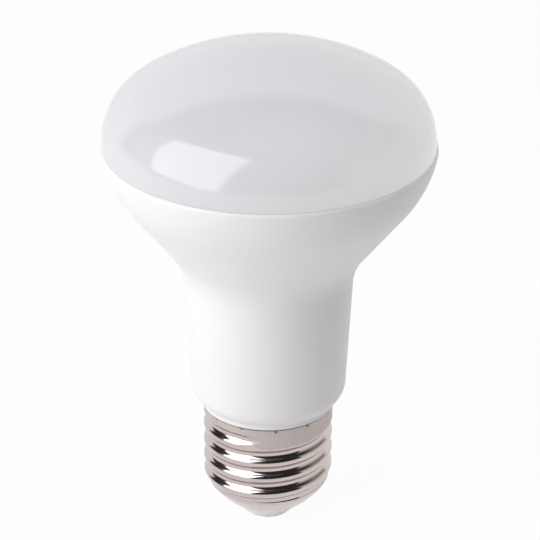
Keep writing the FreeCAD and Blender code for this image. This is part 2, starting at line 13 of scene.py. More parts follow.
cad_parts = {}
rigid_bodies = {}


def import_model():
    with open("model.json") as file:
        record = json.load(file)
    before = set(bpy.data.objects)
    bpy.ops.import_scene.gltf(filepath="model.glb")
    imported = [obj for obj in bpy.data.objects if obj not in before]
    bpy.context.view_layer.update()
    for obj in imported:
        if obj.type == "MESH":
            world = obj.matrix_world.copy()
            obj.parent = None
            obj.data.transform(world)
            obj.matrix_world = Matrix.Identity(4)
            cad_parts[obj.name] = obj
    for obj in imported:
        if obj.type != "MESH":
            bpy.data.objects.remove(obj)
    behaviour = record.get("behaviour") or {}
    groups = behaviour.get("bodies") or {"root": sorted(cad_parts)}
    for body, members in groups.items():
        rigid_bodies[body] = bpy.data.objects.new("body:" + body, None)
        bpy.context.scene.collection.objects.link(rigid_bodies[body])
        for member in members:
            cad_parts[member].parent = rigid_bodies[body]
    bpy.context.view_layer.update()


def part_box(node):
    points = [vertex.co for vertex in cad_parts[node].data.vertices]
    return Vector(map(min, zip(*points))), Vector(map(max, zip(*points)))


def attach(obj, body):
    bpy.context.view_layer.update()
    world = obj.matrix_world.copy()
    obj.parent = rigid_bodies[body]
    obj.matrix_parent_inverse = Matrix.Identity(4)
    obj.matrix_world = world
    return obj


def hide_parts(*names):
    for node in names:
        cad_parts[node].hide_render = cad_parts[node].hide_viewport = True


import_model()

bl_info = {
    "name": "Reflector Bulb",
    "version": (1, 0, 0),
    "blender": (4, 5, 0),
    "location": "3D View > Sidebar > Lamp",
    "description": "Builds a screw-cap reflector bulb on its packed CAD frame",
    "category": "Add Mesh",
}

MM = 0.001
TURN = 2 * math.pi
# Columns of faces round a turned piece, and round the small contact.
SEGMENTS = 256
CONTACT_SEGMENTS = 128
# Edges that look sharp are turned with this small round, in millimetres.
EDGE = 0.12

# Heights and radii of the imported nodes, in millimetres.
CONTACT_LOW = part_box("centre_contact")[0].z / MM
BUTTON_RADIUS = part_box("centre_contact")[1].x / MM
PIN_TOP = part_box("centre_contact")[1].z / MM
INSULATOR_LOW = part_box("insulator")[0].z / MM
INSULATOR_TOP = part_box("insulator")[1].z / MM
FLANGE_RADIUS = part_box("insulator")[1].x / MM
SHELL_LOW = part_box("screw_shell")[0].z / MM
SHELL_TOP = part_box("screw_shell")[1].z / MM
SPIGOT_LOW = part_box("housing")[0].z / MM
RIM_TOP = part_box("housing")[1].z / MM
RIM_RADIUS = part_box("housing")[1].x / MM
SKIRT_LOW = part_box("diffuser")[0].z / MM
DOME_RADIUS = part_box("diffuser")[1].x / MM

# The numbers below are in millimetres, and angles in degrees where nothing else is said.

# Centre contact: its pin, and the round on the button's edge.
PIN_RADIUS = 1.1
BUTTON_EDGE = 0.25

# Insulator: its bore, its flat lower face, the round beside it and that round's last angle, and
# where the cone starts, as a radius and a height above the lower face.
PIN_BORE = 1.2
TIP_FLAT = 4.2
TIP_ROUND = 0.8
TIP_ROUND_END = -35
TIP_CONE = (5.2, 0.75)

# What sits inside the shell stays this far within its outer surface: the sheet and a clearance.
SEAT = 0.4

# The drawn mouth of the shell reaches this far below the plain CAD edge.
MOUTH_DRAW = 0.71
MOUTH = SHELL_LOW - MOUTH_DRAW
MOUTH_INSET = 3.51
# Below this height above the mouth the shoulder's round runs out in a cone.
CONE = 2.0
# The shoulder's round, and its centre inside the crests and above the mouth.
SHOULDER_ROUND = 6.0
SHOULDER_INSET = 6.29
SHOULDER_HEIGHT = 5.94
# The taper from the shoulder to the crests, above the mouth, and how much it bulges.
TAPER_LOW = 3.41
TAPER_HIGH = 5.41
TAPER_BULGE = 0.15
# The full groove starts this far above the mouth.
THREAD_START = 1.46
# The collar's top edge is drawn in under the housing: over what height, and how deep.
TOP_EDGE_HEIGHT = 0.5
TOP_EDGE_DEPTH = 0.22

# Punch marks in the collar: the first one's azimuth, their height below the top edge, the radius
# of the punch's tip, how deep it goes, and how far close columns of faces reach to each side.
MARK_AZIMUTH = -82.7
MARK_DROP = 0.45
MARK_BALL = 0.7
MARK_DEPTH = 0.24
MARK_SIDE = 2.4

# Spigot below the housing: the nose's inset and its end below the lip, the land's end, the lead.
NOSE_INSET = 1.496
NOSE_END = 1.953
LAND_END = 1.1
SPIGOT_CHAMFER = 0.4
# The housing's lip outside the collar, its height, and the round and step above it to the neck.
LIP_OVERHANG = 0.35
LIP_HEIGHT = 1.05
NECK_ROUND = 4.43
NECK_STEP = 2.21
# How far the neck and the rim's wall lean from the axis.
NECK_DRAFT = 2.86
RIM_LEAN = 10.09
RIM_EDGE = 0.8
# The light chamber's depth below the rim, and its wall inside the diffuser's outer face.
CHAMBER_DEPTH = 4.0
CHAMBER_INSET = 0.9

# Diffuser: its wall, its upright land, its skirt, and how far its foot reaches down the rim's
# round, so that the seam stays closed.
DIFFUSER_WALL = 1.5
DIFFUSER_LAND = 1.0
SKIRT_INSET = 1.0
SKIRT_WALL = 1.2
FOOT_DROP = 0.105


class CapSizes(bpy.types.PropertyGroup):
    """Sizes of the screw cap's thread and collar."""

    crest_radius: FloatProperty(
        name="Crest radius", description="Thread at its crests", default=13.15 * MM,
        unit="LENGTH", subtype="DISTANCE", precision=5)
    thread_pitch: FloatProperty(
        name="Thread pitch", description="Rise of the thread in one turn", default=3.629 * MM,
        unit="LENGTH", subtype="DISTANCE", precision=6)
    thread_depth: FloatProperty(
        name="Thread depth", description="Crest to groove", default=0.97 * MM,
        unit="LENGTH", subtype="DISTANCE", precision=6)
    thread_end: FloatProperty(
        name="Thread end", description="End of the full groove below the cap's top edge",
        default=3.06 * MM, unit="LENGTH", subtype="DISTANCE", precision=6)
    thread_end_azimuth: FloatProperty(
        name="End azimuth", description="Where round the cap the full groove ends",
        default=math.radians(241.0), unit="ROTATION", subtype="ANGLE")
    fade_turns: FloatProperty(
        name="Run-out", description="Part of a turn in which the groove runs out",
        default=0.065, min=0.01)
    sheet: FloatProperty(
        name="Sheet", description="Thickness of the cap's sheet", default=0.3 * MM,
        unit="LENGTH", subtype="DISTANCE", precision=5)
    marks: IntProperty(
        name="Punch marks", description="Punch marks round the collar", default=12, min=1)


class BodySizes(bpy.types.PropertyGroup):
    """Sizes of the moulded housing and the diffuser."""

    cone_angle: FloatProperty(
        name="Cone angle", description="Housing's cone, measured from the axis",
        default=math.radians(37.8), unit="ROTATION", subtype="ANGLE")
    bell_round: FloatProperty(
        name="Bell round", description="Round between the cone and the rim",
        default=22.76 * MM, unit="LENGTH", subtype="DISTANCE", precision=5)
    knee_round: FloatProperty(
        name="Knee round", description="Hollow round between the neck and the cone",
        default=13.47 * MM, unit="LENGTH", subtype="DISTANCE", precision=5)
    crown_arc: FloatProperty(
        name="Crown arc", description="Round over the diffuser's top",
        default=50.5 * MM, unit="LENGTH", subtype="DISTANCE", precision=5)
    shoulder_arc: FloatProperty(
        name="Shoulder arc", description="Round at the diffuser's shoulder",
        default=12.5 * MM, unit="LENGTH", subtype="DISTANCE", precision=5)


class LampColours(bpy.types.PropertyGroup):
    """Colours of the lamp and its studio."""

    nickel: FloatVectorProperty(
        name="Nickel", description="Plated sheet of the screw cap", subtype="COLOR", size=4,
        min=0, max=1, default=(0.60, 0.535, 0.515, 1))
    housing: FloatVectorProperty(
        name="Housing", description="Moulded white housing", subtype="COLOR", size=4,
        min=0, max=1, default=(0.86, 0.86, 0.865, 1))
    diffuser: FloatVectorProperty(
        name="Diffuser", description="Opal diffuser", subtype="COLOR", size=4,
        min=0, max=1, default=(0.66, 0.655, 0.675, 1))
    insulator: FloatVectorProperty(
        name="Insulator", description="White insulator under the cap", subtype="COLOR", size=4,
        min=0, max=1, default=(0.965, 0.97, 0.975, 1))
    contact: FloatVectorProperty(
        name="Contact", description="Tinned centre contact", subtype="COLOR", size=4,
        min=0, max=1, default=(0.66, 0.62, 0.56, 1))
    floor: FloatVectorProperty(
        name="Floor", description="Pale studio floor", subtype="COLOR", size=4,
        min=0, max=1, default=(0.88, 0.85, 0.84, 1))


class Profile:
    """Outline in millimetres, radius and height, made of lines and arcs of fine steps."""

    def __init__(self, radius, height):
        self.points = [(radius, height)]

    def line(self, radius, height, step=1.0):
        """Straight stretch to a point, in steps no longer than the given one."""
        x, y = self.points[-1]
        count = max(2, math.ceil(math.dist((x, y), (radius, height)) / step))
        for i in range(1, count + 1):
            share = i / count
            self.points.append((x + (radius - x) * share, y + (height - y) * share))
        return self

    def arc(self, centre, radius, start, end, step=4.0):
        """Round from one angle to another, in degrees from the level, steps in degrees."""
        count = max(3, math.ceil(abs(end - start) / step))
        for i in range(count + 1):
            angle = math.radians(start + (end - start) * i / count)
            point = (centre[0] + radius * math.cos(angle), centre[1] + radius * math.sin(angle))
            if math.dist(point, self.points[-1]) > 1e-4:
                self.points.append(point)
        return self


def new_piece(name, vertices, faces):
    """Mesh object that stands for the CAD node of the same name."""
    mesh = bpy.data.meshes.new(name + "_form")
    mesh.from_pydata([(x * MM, y * MM, z * MM) for x, y, z in vertices], [], faces)
    mesh.validate()
    mesh.update()
    mesh.shade_smooth()
    piece = bpy.data.objects.new(name + "_piece", mesh)
    bpy.context.scene.collection.objects.link(piece)
    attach(piece, "root")
    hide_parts(name)
    return piece


def turned(name, points, closed=True, segments=SEGMENTS):
    """Turn an outline on the axis. Points on the axis become one vertex each."""
    vertices = []
    rings = []
    for radius, height in points:
        if radius < 1e-6:
            rings.append([len(vertices)] * segments)
            vertices.append((0.0, 0.0, height))
            continue
        rings.append(range(len(vertices), len(vertices) + segments))
        for k in range(segments):
            angle = TURN * k / segments
            vertices.append((radius * math.cos(angle), radius * math.sin(angle), height))
    faces = []
    pairs = list(zip(rings, rings[1:]))
    if closed:
        pairs.append((rings[-1], rings[0]))
    for low, high in pairs:
        for k in range(segments):
            after = (k + 1) % segments
            corners = list(dict.fromkeys((low[k], low[after], high[after], high[k])))
            if len(corners) > 2:
                faces.append(corners)
    return new_piece(name, vertices, faces)


class Wire:
    """A socket that carries a number. Arithmetic on it adds Math nodes."""

    def __init__(self, graph, socket):
        self.graph = graph
        self.socket = socket

    def __add__(self, other):
        return self.graph.math("ADD", self, other)

    __radd__ = __add__

    def __sub__(self, other):
        return self.graph.math("SUBTRACT", self, other)

    def __rsub__(self, other):
        return self.graph.math("SUBTRACT", other, self)

    def __mul__(self, other):
        return self.graph.math("MULTIPLY", self, other)

    __rmul__ = __mul__

    def __truediv__(self, other):
        return self.graph.math("DIVIDE", self, other)


class Graph:
    """Nodes of one material or world."""

    def __init__(self, owner):
        owner.use_nodes = True
        self.tree = owner.node_tree
        self.tree.nodes.clear()

    def node(self, kind, settings=None, values=None):
        """Add a node: its settings first, then numbers, colours or links on its sockets."""
        node = self.tree.nodes.new(kind)
        for key, value in (settings or {}).items():
            setattr(node, key, value)
        for key, value in (values or {}).items():
            socket = node.inputs[key]
            if isinstance(value, Wire):
                self.tree.links.new(value.socket, socket)
            else:
                socket.default_value = value
        return node

    def wire(self, node, output=0):
        """One output of a node."""
        return Wire(self, node.outputs[output])

    def math(self, operation, *values):
        """One Math node on numbers or wires."""
        node = self.node("ShaderNodeMath", {"operation": operation}, dict(enumerate(values)))
        return self.wire(node)

    def step(self, value, low, high):
        """0 below low, 1 above high and smooth between them."""
        node = self.node("ShaderNodeMapRange", {"interpolation_type": "SMOOTHSTEP"},
                         {"Value": value, "From Min": low, "From Max": high})
        return self.wire(node, "Result")

    def mix(self, factor, first, second):
        """Mix two colours, which are the Mix node's inputs 6 and 7 and its output 2."""
        node = self.node("ShaderNodeMix", {"data_type": "RGBA", "clamp_factor": True},
                         {0: factor, 6: first, 7: second})
        return self.wire(node, 2)

    def place(self, scale=(1, 1, 1)):
        """Object coordinates in millimetres, stretched by scale."""
        coordinates = self.node("ShaderNodeTexCoord")
        scaled = self.node("ShaderNodeVectorMath", {"operation": "MULTIPLY"},
                           {0: self.wire(coordinates, "Object"),
                            1: tuple(s / MM for s in scale)})
        return self.wire(scaled)

    def split(self, vector):
        """The three parts of a vector."""
        node = self.node("ShaderNodeSeparateXYZ", values={0: vector})
        return tuple(self.wire(node, axis) for axis in "XYZ")

    def noise(self, vector, scale, detail=2.0, roughness=0.5):
        """Noise between 0 and 1, with scale in features per millimetre."""
        node = self.node("ShaderNodeTexNoise", {"noise_dimensions": "3D"},
                         {"Vector": vector, "Scale": scale, "Detail": detail,
                          "Roughness": roughness})
        return self.wire(node)

    def bump(self, height, distance):
        """Normal from a height, with the distance of one unit in millimetres."""
        node = self.node("ShaderNodeBump", values={
            "Height": height, "Distance": distance * MM, "Strength": 1.0})
        return self.wire(node)

    def surface(self, values):
        """Finish a material with one Principled shader."""
        shader = self.node("ShaderNodeBsdfPrincipled", values=values)
        self.node("ShaderNodeOutputMaterial", values={"Surface": self.wire(shader)})


def tint(colour, factor):
    """The colour made lighter or darker by one factor."""
    return tuple(min(1.0, part * factor) for part in colour[:3]) + (1.0,)


def material(name):
    """New material and its empty node graph."""
    made = bpy.data.materials.new(name)
    return made, Graph(made)


def plated_nickel(sizes, colours):
    """Bright rolled thread below a satin collar that was drawn upright."""
    made, graph = material("plated_nickel")
    x, y, z = graph.split(graph.place())
    # The collar's satin ends where the groove's upper flank begins, one turn after another.
    pitch = sizes.thread_pitch / MM
    end = sizes.thread_end / MM
    run_out = sizes.thread_end_azimuth / TURN + sizes.fade_turns
    angle = graph.math("ARCTAN2", y, x)
    turn = graph.math("FRACT", angle / TURN + (2 - run_out))
    depth = SHELL_TOP - z
    upper = end + (0.5 - sizes.fade_turns) * pitch + 0.15 \
        + pitch * (graph.step(turn, 0.94, 1.0) - turn)
    rolled = graph.step(depth - upper, -0.12, 0.12)

    drawn = graph.noise(graph.place((1, 1, 0.02)), 3.6, 3.0, 0.6)
    cloud = graph.noise(graph.place(), 0.22, 3.0, 0.55)
    grain = graph.noise(graph.place(), 9.0, 2.0)
    along = graph.noise(graph.place((0.05, 0.05, 1)), 7.0, 2.0)
    satin = 0.44 + 0.14 * drawn
    bright = 0.085 + 0.07 * cloud + 0.03 * grain
    roughness = bright * rolled + satin * (1 - rolled)
    plate = graph.mix(cloud, tint(colours.nickel, 0.93), tint(colours.nickel, 1.07))
    brushed = graph.mix(drawn, tint(colours.nickel, 0.80), tint(colours.nickel, 1.12))
    tone = graph.mix(rolled, brushed, plate)
    # Each punch mark is darker in colour.
    span = TURN / sizes.marks
    first = math.radians(MARK_AZIMUTH)
    aside = (graph.math("FRACT", angle / span + (0.5 - first / span)) - 0.5) \
        * (span * sizes.crest_radius / MM)
    lower = depth - MARK_DROP
    pit = 1 - graph.step(aside * aside + lower * lower, 0.04, 0.26)
    tone = graph.mix(0.7 * pit, tone, tint(colours.nickel, 0.2))
    # Painted shade: the turned edge under the housing's lip is darkened in colour, standing in
    # for the contact shadow that the lip throws on it.
    tone = graph.mix(0.85 - 0.85 * graph.step(depth, 0.30, 0.46), tone,
                     tint(colours.nickel, 0.15))
    relief = drawn * (1 - rolled) * 0.55 + along * rolled * 0.05 + grain * 0.06
    graph.surface({"Base Color": tone, "Metallic": 0.6 + 0.4 * rolled, "Roughness": roughness,
                   "Normal": graph.bump(relief, 0.012)})
    return made


def moulded_white(colours):
    """Satin white housing with a fine spark-eroded skin."""
    made, graph = material("moulded_white")
    place = graph.place()
    skin = graph.noise(place, 3.2, 3.0, 0.6)
    flow = graph.noise(graph.place((1, 1, 0.35)), 0.05, 2.0)
    tone = graph.mix(flow, tint(colours.housing, 0.985), tint(colours.housing, 1.01))
    graph.surface({"Base Color": tone, "Roughness": 0.40 + 0.10 * skin,
                   "IOR": 1.5, "Normal": graph.bump(skin + 4.0 * flow, 0.006)})
    return made


def opal(colours):
    """Opal dome, nearly glossy, with the faint waviness of a moulded sheet."""
    made, graph = material("opal_diffuser")
    wave = graph.noise(graph.place(), 0.07, 1.0)
    skin = graph.noise(graph.place(), 2.4, 2.0)
    tone = graph.mix(wave, tint(colours.diffuser, 0.985), tint(colours.diffuser, 1.01))
    graph.surface({"Base Color": tone, "Roughness": 0.11 + 0.03 * skin, "IOR": 1.6,
                   "Normal": graph.bump(8.0 * wave + 0.4 * skin, 0.004)})
    return made


def insulator_white(colours):
    """Plain white insulator, a little dull where the mould was blasted."""
    made, graph = material("insulator_white")
    skin = graph.noise(graph.place(), 5.0, 3.0, 0.6)
    tone = graph.mix(skin, tint(colours.insulator, 0.97), colours.insulator)
    graph.surface({"Base Color": tone, "Roughness": 0.45 + 0.2 * skin,
                   "Normal": graph.bump(skin, 0.01)})
    return made


def tinned_contact(colours):
    """Tinned button with turned rings, duller and darker in random patches."""
    made, graph = material("tinned_contact")
    x, y, _ = graph.split(graph.place())
    radius = graph.math("SQRT", x * x + y * y)
    rings = 0.5 + 0.5 * graph.math("SINE", radius * 42.0)
    cloud = graph.noise(graph.place(), 0.9, 3.0, 0.6)
    tone = graph.mix(cloud, tint(colours.contact, 0.86), tint(colours.contact, 1.08))
    graph.surface({"Base Color": tone, "Metallic": 1.0, "Roughness": 0.22 + 0.22 * cloud,
                   "Normal": graph.bump(0.6 * rings + cloud, 0.012)})
    return made


def add_finish(piece, finish):
    """Give a piece its one material."""
    piece.data.materials.clear()
    piece.data.materials.append(finish)


class LAMP_OT_centre_contact(bpy.types.Operator):
    """Button under the insulator, with its pin"""

    bl_idname = "lamp.centre_contact"
    bl_label = "Centre contact"

    def execute(self, context):
        flat = BUTTON_RADIUS - BUTTON_EDGE
        outline = Profile(0.0, CONTACT_LOW).line(flat, CONTACT_LOW, 0.4)
        outline.arc((flat, CONTACT_LOW + BUTTON_EDGE), BUTTON_EDGE, -90, 0, 10)
        outline.line(BUTTON_RADIUS, INSULATOR_LOW, 0.2).line(PIN_RADIUS, INSULATOR_LOW, 0.4)
        outline.line(PIN_RADIUS, PIN_TOP - EDGE, 1.0)
        outline.arc((PIN_RADIUS - EDGE, PIN_TOP - EDGE), EDGE, 0, 90, 20)
        outline.line(0.0, PIN_TOP, 0.4)
        piece = turned("centre_contact", outline.points, False,
                       CONTACT_SEGMENTS)
        add_finish(piece, tinned_contact(context.scene.lamp_colours))
        return {"FINISHED"}


def shoulder(crest, height):
    """Outer radius of the shell's shoulder at a height above the mouth: a cone, then a round."""
    if height >= CONE:
        return crest - SHOULDER_INSET \
            + math.sqrt(SHOULDER_ROUND ** 2 - (SHOULDER_HEIGHT - height) ** 2)
    mouth = crest - MOUTH_INSET
    return mouth + (shoulder(crest, CONE) - mouth) * height / CONE


class LAMP_OT_insulator(bpy.types.Operator):
    """White insulator: a cone below the shell, and a flange inside it"""

    bl_idname = "lamp.insulator"
    bl_label = "Insulator"

    def execute(self, context):
        scene = context.scene
        crest = scene.lamp_cap.crest_radius / MM
        neck = crest - MOUTH_INSET - SEAT
        rise = CONE * (FLANGE_RADIUS - neck) / (shoulder(crest, CONE) - SEAT - neck)
        outline = Profile(PIN_BORE, INSULATOR_LOW).line(TIP_FLAT, INSULATOR_LOW, 0.5)
        outline.arc((TIP_FLAT, INSULATOR_LOW + TIP_ROUND), TIP_ROUND, -90, TIP_ROUND_END, 8)
        outline.line(TIP_CONE[0], INSULATOR_LOW + TIP_CONE[1], 0.1)
        outline.line(neck, MOUTH, 0.5).line(FLANGE_RADIUS, MOUTH + rise, 0.3)
        outline.line(FLANGE_RADIUS, INSULATOR_TOP, 0.5).line(PIN_BORE, INSULATOR_TOP, 1.0)
        piece = turned("insulator", outline.points)
        add_finish(piece, insulator_white(scene.lamp_colours))
        return {"FINISHED"}


class ThreadedSheet:
    """Radius of the rolled shell over its height and round its axis, in millimetres."""

    def __init__(self, sizes):
        self.crest = sizes.crest_radius / MM
        self.pitch = sizes.thread_pitch / MM
        self.depth = sizes.thread_depth / MM
        self.end = sizes.thread_end / MM
        self.end_azimuth = math.degrees(sizes.thread_end_azimuth)
        self.fade = sizes.fade_turns
        self.length = SHELL_TOP - MOUTH
        self.arc = (self.pitch ** 2 / 4 + self.depth ** 2) / (4 * self.depth)
        self.turns = (self.length - self.end - THREAD_START) / self.pitch
        self.marks = sizes.marks

    def blank(self, height):
        """The drawn sheet before its thread is rolled."""
        if height >= TAPER_HIGH:
            return self.crest
        if height < TAPER_LOW:
            return shoulder(self.crest, height)
        share = (height - TAPER_LOW) / (TAPER_HIGH - TAPER_LOW)
        widest = shoulder(self.crest, TAPER_LOW)
        return widest + (self.crest - widest) * share * (1 + TAPER_BULGE * (1 - share))

    def lift(self, turns):
        """How far the groove has risen, for turns past the end of its full depth."""
        return self.depth * min(1.0, max(0.0, turns / self.fade))

    def radius(self, height, azimuth):
        """Outer radius at a height above the mouth and an azimuth in degrees from +X."""
        radius = self.blank(height)
        half = self.pitch / 2
        turn = (azimuth - self.end_azimuth) % 360.0 / 360.0
        below = self.length - height
        for lap in range(math.ceil(self.turns) + 1):
            turns = turn - lap
            middle = self.end - self.pitch * turns
            away = abs(below - middle)
            if away > half or turns < -self.turns or turns >= self.fade:
                continue
            if away <= half / 2:
                cut = self.crest - self.depth + self.arc - math.sqrt(self.arc ** 2 - away ** 2)
            else:
                cut = self.crest - self.arc + math.sqrt(self.arc ** 2 - (half - away) ** 2)
            radius = min(radius, cut + self.lift(turns))
        return radius

    def dented(self, radius, height, azimuth):
        """The radius with the collar's punch marks pressed in."""
        if height < self.length - MARK_DROP - MARK_BALL:
            return radius
        span = 360.0 / self.marks
        off = math.radians((azimuth - MARK_AZIMUTH + span / 2) % span - span / 2)
        reach = self.crest + MARK_BALL - MARK_DEPTH
        rest = MARK_BALL ** 2 - (height - self.length + MARK_DROP) ** 2 \
            - (reach * math.sin(off)) ** 2
        if rest <= 0:
            return radius
        return min(radius, reach * math.cos(off) - math.sqrt(rest))


def shell_azimuths(marks):
    """Columns round the shell in degrees, closer together at each punch mark."""
    span = 360.0 / marks
    close, wide = 12, 16
    offsets = [MARK_SIDE * (2 * k / close - 1) for k in range(close)]
    offsets += [MARK_SIDE + (span - 2 * MARK_SIDE) * k / wide for k in range(wide)]
    return [MARK_AZIMUTH + span * mark + offset for mark in range(marks) for offset in offsets]


def spread(low, high, step):
    """Even heights from low to high, no further apart than a step."""
    count = math.ceil((high - low) / step)
    return [low + (high - low) * k / count for k in range(count + 1)]


class LAMP_OT_screw_shell(bpy.types.Operator):
    """Plated shell with its rolled thread, satin collar and punch marks"""

    bl_idname = "lamp.screw_shell"
    bl_label = "Screw shell"

    def execute(self, context):
        sizes = context.scene.lamp_cap
        sheet = ThreadedSheet(sizes)
        wall = sizes.sheet / MM
        azimuths = shell_azimuths(sizes.marks)
        top = sheet.length
        edge = top - TOP_EDGE_HEIGHT
        # Each ring has a height above the mouth and a depth under the outer surface. They are
        # close over the thread and the punch marks, and wider over the plain collar.
        rings = [(0.0, 0.20), (0.03, 0.05)]
        for low, high, step in ((0.1, 15.7, 0.095), (15.8, 19.3, 0.14),
                                (19.4, edge - 0.05, 0.08)):
            rings += [(height, 0.0) for height in spread(low, high, step)]
        # The top edge is a quarter of an ellipse.
        for part in range(1, 9):
            angle = math.pi / 16 * part
            rings.append((edge + TOP_EDGE_HEIGHT * math.sin(angle),
                          TOP_EDGE_DEPTH * (1 - math.cos(angle))))
        rings.append((top, wall - 0.05))
        rings += [(height, wall) for height in reversed(spread(0.2, top - 0.05, 0.4))]
        rings.append((0.0, wall))
        vertices = []
        for height, under in rings:
            for azimuth in azimuths:
                radius = sheet.radius(height, azimuth) - under
                if under < wall:
                    radius = sheet.dented(radius, height, azimuth)
                angle = math.radians(azimuth)
                vertices.append((radius * math.cos(angle), radius * math.sin(angle),
                                 MOUTH + height))
        count = len(azimuths)
        faces = []
        for ring in range(len(rings)):
            low = ring * count
            high = (ring + 1) % len(rings) * count
            for k in range(count):
                after = (k + 1) % count
                faces.append((low + k, low + after, high + after, high + k))
        piece = new_piece("screw_shell", vertices, faces)
        add_finish(piece, plated_nickel(sizes, context.scene.lamp_colours))
        return {"FINISHED"}


def crossing(first, first_angle, second, second_angle):
    """Point where two lines cross, each through a point and at an angle from upright."""
    rise = (second[0] - first[0] + (first[1] - second[1]) * math.tan(second_angle)) \
        / (math.tan(first_angle) - math.tan(second_angle))
    return (first[0] + rise * math.tan(first_angle), first[1] + rise)


class LAMP_OT_housing(bpy.types.Operator):
    """Moulded housing: spigot, neck, hollow knee, cone, bell and rim"""

    bl_idname = "lamp.housing"
    bl_label = "Housing"

    def execute(self, context):
        body = context.scene.lamp_body
        crest = context.scene.lamp_cap.crest_radius / MM
        base = SHELL_TOP
        draft = math.radians(NECK_DRAFT)
        lean = math.radians(RIM_LEAN)
        cone = body.cone_angle
        bell_round = body.bell_round / MM
        knee_round = body.knee_round / MM
        land = crest - SEAT
        nose = crest - NOSE_INSET
        lip = crest + LIP_OVERHANG
        lip_top = base + LIP_HEIGHT
        neck = lip + NECK_STEP
        round_x = neck - NECK_ROUND * math.cos(draft)
        round_y = lip_top + math.sqrt(NECK_ROUND ** 2 - (lip - round_x) ** 2)
        rim = (RIM_RADIUS, RIM_TOP - RIM_EDGE)
        bell = (rim[0] - bell_round * math.cos(lean), rim[1] + bell_round * math.sin(lean))
        cone_high = (bell[0] + bell_round * math.cos(cone), bell[1] - bell_round * math.sin(cone))
        neck_low = (neck, round_y - NECK_ROUND * math.sin(draft))
        corner = crossing(neck_low, draft, cone_high, cone)
        cut = knee_round * math.tan((cone - draft) / 2)
        knee = (corner[0] - cut * math.sin(draft) + knee_round * math.cos(draft),
                corner[1] - cut * math.cos(draft) - knee_round * math.sin(draft))
        chamber = DOME_RADIUS - CHAMBER_INSET
        floor = RIM_TOP - CHAMBER_DEPTH

        outline = Profile(0.0, SPIGOT_LOW).line(nose - SPIGOT_CHAMFER, SPIGOT_LOW)
        outline.line(nose, SPIGOT_LOW + SPIGOT_CHAMFER, 0.2).line(nose, base - NOSE_END, 0.8)
        outline.line(land, base - LAND_END, 0.4).line(land, base, 0.8)
        outline.line(lip - EDGE, base, 0.2)
        outline.arc((lip - EDGE, base + EDGE), EDGE, -90, 0, 15)
        outline.line(lip, lip_top, 0.15)
        start = math.degrees(math.atan2(lip_top - round_y, lip - round_x))
        outline.arc((round_x, round_y), NECK_ROUND, start, -NECK_DRAFT, 2)
        outline.line(knee[0] - knee_round * math.cos(draft),
                     knee[1] + knee_round * math.sin(draft), 0.8)
        outline.arc(knee, knee_round, 180 - NECK_DRAFT, 180 - math.degrees(cone), 1.5)
        outline.line(cone_high[0], cone_high[1], 0.8)
        outline.arc(bell, bell_round, -math.degrees(cone), -RIM_LEAN, 1.2)
        outline.arc((rim[0] - RIM_EDGE, rim[1]), RIM_EDGE, 0, 90, 7)
        outline.line(chamber + EDGE, RIM_TOP, 0.3)
        outline.arc((chamber + EDGE, RIM_TOP - EDGE), EDGE, 90, 180, 20)
        outline.line(chamber, floor, 0.8).line(0.0, floor, 2.0)
        piece = turned("housing", outline.points, False)
        add_finish(piece, moulded_white(context.scene.lamp_colours))
        return {"FINISHED"}


class LAMP_OT_diffuser(bpy.types.Operator):
    """Opal dome with a skirt inside the housing's rim"""

    bl_idname = "lamp.diffuser"
    bl_label = "Diffuser"

    def execute(self, context):
        body = context.scene.lamp_body
        crown = body.crown_arc / MM
        outer = body.shoulder_arc / MM
        inner = outer - DIFFUSER_WALL
        skirt = DOME_RADIUS - SKIRT_INSET
        inside = skirt - SKIRT_WALL
        side = (DOME_RADIUS - outer, RIM_TOP + DIFFUSER_LAND)
        middle = (0.0, side[1] - math.sqrt((crown - outer) ** 2 - side[0] ** 2))
        lean = math.degrees(math.atan2(side[1] - middle[1], side[0]))
        outline = Profile(skirt, RIM_TOP).line(RIM_RADIUS - RIM_EDGE, RIM_TOP, 0.3)
        outline.line(DOME_RADIUS, RIM_TOP - FOOT_DROP, 0.1).line(DOME_RADIUS, side[1], 0.2)
        outline.arc(side, outer, 0, lean, 1.5).arc(middle, crown, lean, 90, 0.4)
        outline.line(0.0, middle[1] + crown - DIFFUSER_WALL, 1.0)
        outline.arc(middle, crown - DIFFUSER_WALL, 90, lean, 1.5).arc(side, inner, lean, 0, 5)
        outline.line(inside, RIM_TOP, 0.5).line(inside, SKIRT_LOW, 1.0)
        outline.line(skirt, SKIRT_LOW, 0.4)
        piece = turned("diffuser", outline.points)
        add_finish(piece, opal(context.scene.lamp_colours))
        return {"FINISHED"}


def studio_floor(colours):
    """Pale floor that the camera and the metal see as white, with the lamp's shadow on it."""
    made, graph = material("studio_floor")
    rays = graph.node("ShaderNodeLightPath")
    mirrored = graph.math("MAXIMUM", graph.wire(rays, "Is Glossy Ray"),
                          graph.wire(rays, "Is Transmission Ray"))
    seen = graph.math("MAXIMUM", graph.wire(rays, "Is Camera Ray") * 0.95, mirrored * 0.8)
    plain = graph.node("ShaderNodeBsdfDiffuse", values={"Color": colours.floor})
    white = graph.node("ShaderNodeEmission", values={"Color": (1, 1, 1, 1), "Strength": 1.0})
    mixed = graph.node("ShaderNodeMixShader", values={
        0: seen, 1: graph.wire(plain), 2: graph.wire(white)})
    graph.node("ShaderNodeOutputMaterial", values={"Surface": graph.wire(mixed)})
    return made


